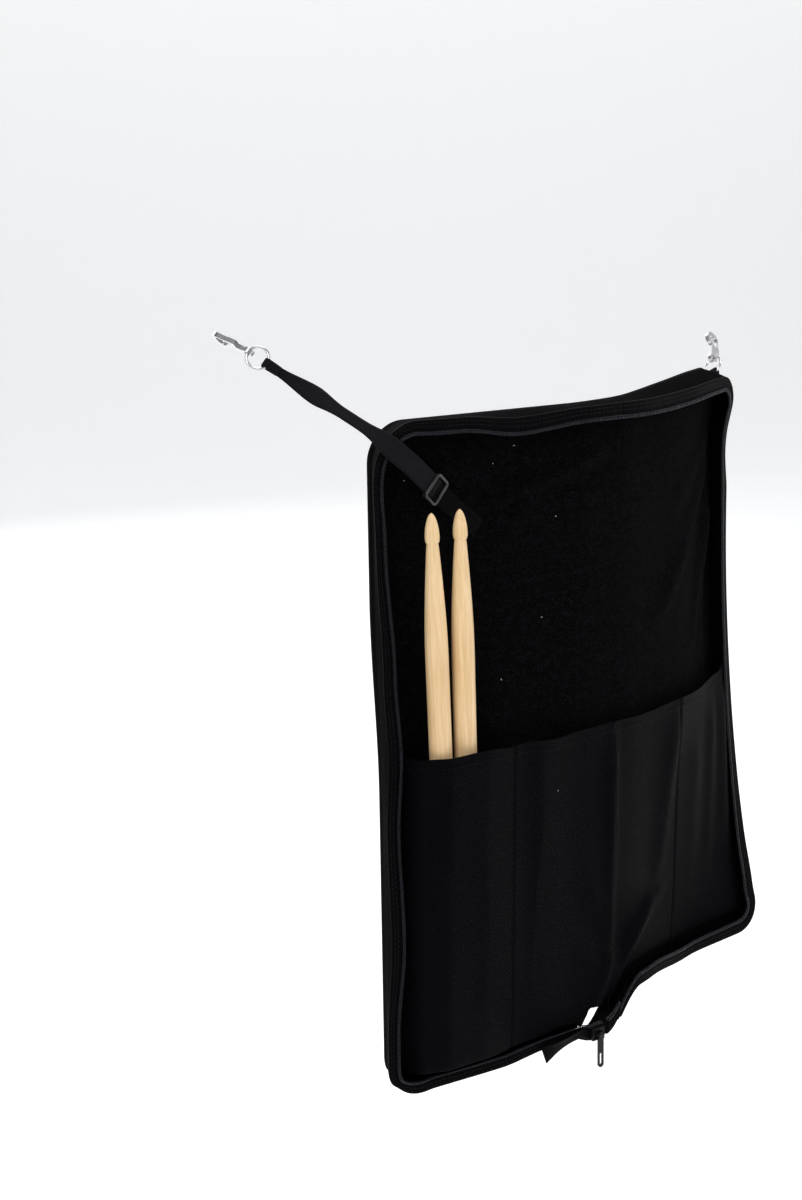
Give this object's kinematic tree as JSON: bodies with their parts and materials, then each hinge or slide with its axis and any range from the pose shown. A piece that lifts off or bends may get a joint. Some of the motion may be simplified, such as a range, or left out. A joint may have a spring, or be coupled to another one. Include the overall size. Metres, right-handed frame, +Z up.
{
  "type": "drum stick bag",
  "caption": "Zip-round black fabric stick bag that opens like a book, with stick pockets inside and hooked straps for hanging it on a drum.",
  "frame": {"origin": "middle of the left hook's jaw, where the bag hangs", "axes": "+Z up along the spine, +Y back towards the drum, +X to the right across the open bag"},
  "size_m": [0.5155, 0.1749, 0.56],
  "materials": {
    "outer_fabric": "plain woven polyester",
    "foam": "closed-cell foam",
    "lining": "brushed, matte",
    "side_band": "ribbed binding",
    "zip_tape": "smooth tape",
    "zip_coil": "satin nylon coil",
    "pocket_fabric": "nylon weave with a soft sheen",
    "webbing": "woven webbing",
    "black_plastic": "satin",
    "slider_paint": "satin black",
    "nickel": "polished",
    "maple": "clear lacquer"
  },
  "bodies": {
    "left_leaf": {"left_cover": "outer_fabric", "left_padding": "foam", "left_lining": "lining", "left_side_band": "side_band", "left_zip_tape": "zip_tape", "left_zip_coil": "zip_coil", "left_pockets": "pocket_fabric", "left_pocket_hem": "pocket_fabric", "left_strap_patch": "webbing", "zip_tail": "zip_coil", "zip_end_tab": "zip_tape"},
    "spine": {"spine_cover": "outer_fabric", "spine_lining": "lining", "spine_pocket": "pocket_fabric", "spine_pocket_hem": "pocket_fabric", "carry_handle": "webbing", "handle_patches": "webbing"},
    "right_leaf": {"right_cover": "outer_fabric", "right_padding": "foam", "right_lining": "lining", "right_side_band": "side_band", "right_zip_tape": "zip_tape", "right_zip_coil": "zip_coil", "right_pockets": "pocket_fabric", "right_pocket_hem": "pocket_fabric", "right_strap_patch": "webbing", "outer_pocket": "outer_fabric", "outer_pocket_hem": "pocket_fabric"},
    "left_stick": {"left_stick": "maple"},
    "right_stick": {"right_stick": "maple"},
    "zip_slider": {"zip_slider": "slider_paint"},
    "zip_pull": {"zip_pull": "nickel"},
    "left_strap": {"left_webbing": "webbing"},
    "left_tri_glide": {"left_tri_glide": "black_plastic"},
    "left_ring": {"left_ring": "nickel"},
    "left_hook": {"left_hook": "nickel"},
    "left_gate": {"left_gate": "nickel"},
    "right_strap": {"right_webbing": "webbing"},
    "right_tri_glide": {"right_tri_glide": "black_plastic"},
    "right_ring": {"right_ring": "nickel"},
    "right_hook": {"right_hook": "nickel"},
    "right_gate": {"right_gate": "nickel"}
  },
  "joints": [
    {"name": "left_fold", "type": "hinge", "parent": "left_leaf", "child": "spine", "pos_m": [0.25793, -0.04525, -0.29799], "axis": [0, 0, 1], "range_deg": [-102, 8]},
    {"name": "right_fold", "type": "hinge", "parent": "spine", "child": "right_leaf", "pos_m": [0.30683, -0.03486, -0.29799], "axis": [0, 0, 1], "range_deg": [-102, 8]},
    {"name": "left_stick_slide", "type": "slide", "parent": "left_leaf", "child": "left_stick", "axis": [-0.0558, -0.0384, 0.9977], "range_m": [0, 0.25]},
    {"name": "right_stick_slide", "type": "slide", "parent": "left_leaf", "child": "right_stick", "axis": [-0.0418, -0.0384, 0.9984], "range_m": [0, 0.25]},
    {"name": "zip_slide", "type": "slide", "parent": "left_leaf", "child": "zip_slider", "axis": [-1, 0, 0], "range_m": [0, 0.12]},
    {"name": "zip_pull_swing", "type": "hinge", "parent": "zip_slider", "child": "zip_pull", "pos_m": [0.25993, -0.07065, -0.52824], "axis": [-1, 0, 0], "range_deg": [0, 170]},
    {"name": "left_strap_swing", "type": "hinge", "parent": "left_leaf", "child": "left_strap", "pos_m": [0.14193, -0.05025, -0.11699], "axis": [0, -1, 0], "range_deg": [-20, 30]},
    {"name": "left_tri_glide_slide", "type": "slide", "parent": "left_strap", "child": "left_tri_glide", "axis": [-0.7351, -0.304, 0.606], "range_m": [0, 0.012]},
    {"name": "left_ring_turn", "type": "hinge", "parent": "left_strap", "child": "left_ring", "pos_m": [0.01847, -0.02625, -0.01522], "axis": [0.6361, 0, 0.7716], "range_deg": [-50, 50]},
    {"name": "left_hook_swing", "type": "hinge", "parent": "left_ring", "child": "left_hook", "pos_m": [0.00849, -0.01905, -0.007], "axis": [0.6361, 0, 0.7716], "range_deg": [-45, 80]},
    {"name": "left_gate_spring", "type": "hinge", "parent": "left_hook", "child": "left_gate", "pos_m": [-0.0007, -0.00872, 0.00058], "axis": [0.6361, 0, 0.7716], "range_deg": [-22, 0], "stiffness_Nm_per_rad": 0.004, "springref_deg": 20.05},
    {"name": "right_strap_swing", "type": "hinge", "parent": "right_leaf", "child": "right_strap", "pos_m": [0.47036, 0.0281, -0.11299], "axis": [0.9135, 0.4067, 0], "range_deg": [-20, 30]},
    {"name": "right_tri_glide_slide", "type": "slide", "parent": "right_strap", "child": "right_tri_glide", "axis": [-0.0203, 0.5277, 0.8492], "range_m": [0, 0.008]},
    {"name": "right_ring_turn", "type": "hinge", "parent": "right_strap", "child": "right_ring", "pos_m": [0.48465, 0.0673, -0.06103], "axis": [-0.3522, 0.7912, -0.5], "range_deg": [-50, 50]},
    {"name": "right_hook_swing", "type": "hinge", "parent": "right_ring", "child": "right_hook", "pos_m": [0.49051, 0.07633, -0.05087], "axis": [-0.3522, 0.7912, -0.5], "range_deg": [-45, 80]},
    {"name": "right_gate_spring", "type": "hinge", "parent": "right_hook", "child": "right_gate", "pos_m": [0.50206, 0.08525, -0.0449], "axis": [-0.3522, 0.7912, -0.5], "range_deg": [-22, 0], "stiffness_Nm_per_rad": 0.004, "springref_deg": 20.05}
  ],
  "couplings": [
    {"joint": "right_fold", "follows": "left_fold", "ratio": 1}
  ]
}
